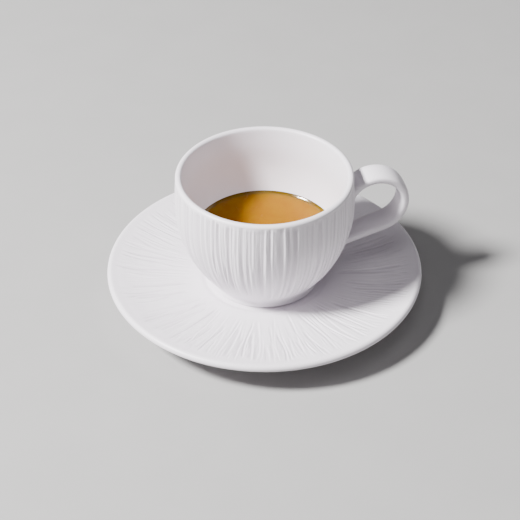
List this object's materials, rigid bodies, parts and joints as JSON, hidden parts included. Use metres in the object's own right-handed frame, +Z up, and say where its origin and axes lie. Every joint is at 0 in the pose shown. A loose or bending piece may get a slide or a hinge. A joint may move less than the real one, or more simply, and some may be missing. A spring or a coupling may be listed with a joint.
{
  "type": "espresso shot in cup with saucer",
  "caption": "Short crema-topped coffee in a small thick-walled porcelain cup with a ribbon loop handle, standing on its round saucer.",
  "frame": {"origin": "middle of the saucer's foot ring on the table, on the axis of the saucer and the cup", "axes": "+Z up along the cup's axis, +X towards the handle"},
  "size_m": [0.12, 0.12, 0.0545],
  "materials": {
    "saucer_porcelain": "white porcelain with a satin glaze and fine carved radial lines, bare at the foot ring",
    "cup_porcelain": "white porcelain with a satin glaze, irregular carved upright flutes outside, smooth inside and on the handle",
    "espresso": null
  },
  "bodies": {
    "root": {"saucer": "saucer_porcelain", "cup": "cup_porcelain", "espresso": "espresso"}
  },
  "joints": []
}
